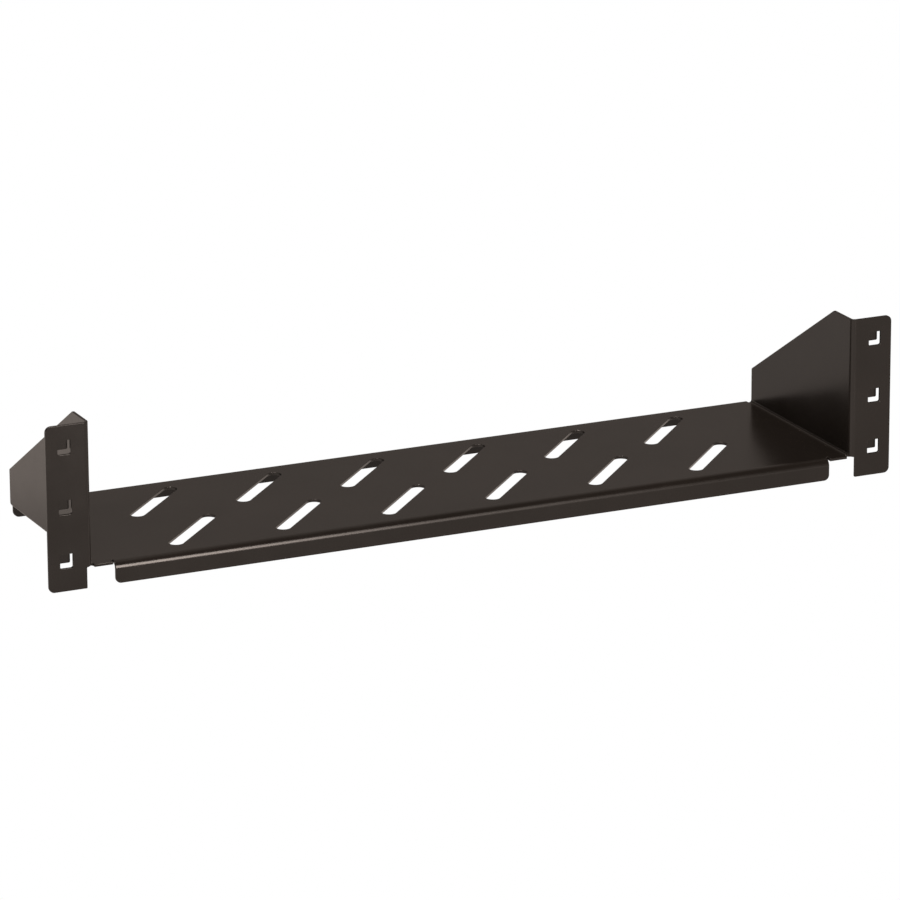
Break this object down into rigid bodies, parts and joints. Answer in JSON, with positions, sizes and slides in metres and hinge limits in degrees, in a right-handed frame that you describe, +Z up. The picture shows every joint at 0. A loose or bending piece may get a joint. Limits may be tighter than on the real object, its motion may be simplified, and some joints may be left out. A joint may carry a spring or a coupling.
{
  "type": "cantilever rack shelf",
  "caption": "Shallow two-unit cantilever shelf for a 19-inch rack, folded from one steel sheet, with a slotted plate, tapered side walls, downturned lips and hooked ears.",
  "frame": {"origin": "centre plane of the shelf, in the plane of the ears' back faces that bear on the rack uprights, level with the bottom edge of the ears", "axes": "+X to the right when facing the rack, +Y from the front into the rack, +Z up"},
  "size_m": [0.485, 0.12, 0.0881],
  "materials": {
    "powder_coat": "satin dark brown-grey powder coat"
  },
  "bodies": {
    "root": {"folded_shelf": "powder_coat"}
  },
  "joints": []
}
